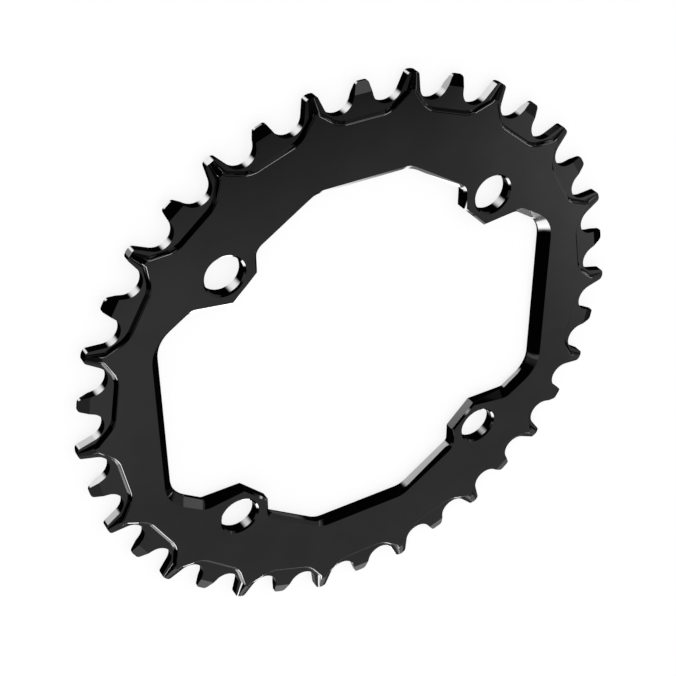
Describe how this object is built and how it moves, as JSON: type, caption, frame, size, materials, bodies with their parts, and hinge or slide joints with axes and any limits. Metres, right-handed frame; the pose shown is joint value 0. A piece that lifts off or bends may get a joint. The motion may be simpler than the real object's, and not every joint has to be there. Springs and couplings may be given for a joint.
{
  "type": "bicycle chainring",
  "caption": "Flat toothed ring for a bicycle crank that drives the chain, with alternating narrow and wide teeth and an open centre with tabs for the crank bolts.",
  "frame": {"origin": "centre of the ring on its back rim face", "axes": "+Z along the axis of the ring, out of the front face that faces away from the bicycle frame; +X and +Y lie in the ring, each midway between two crank bolts, and the window is wider along X; the ring lies on its back face"},
  "size_m": [0.1522, 0.1512, 0.0039],
  "materials": {
    "anodised_aluminium": "gloss"
  },
  "bodies": {
    "root": {"chainring": "anodised_aluminium"}
  },
  "joints": []
}
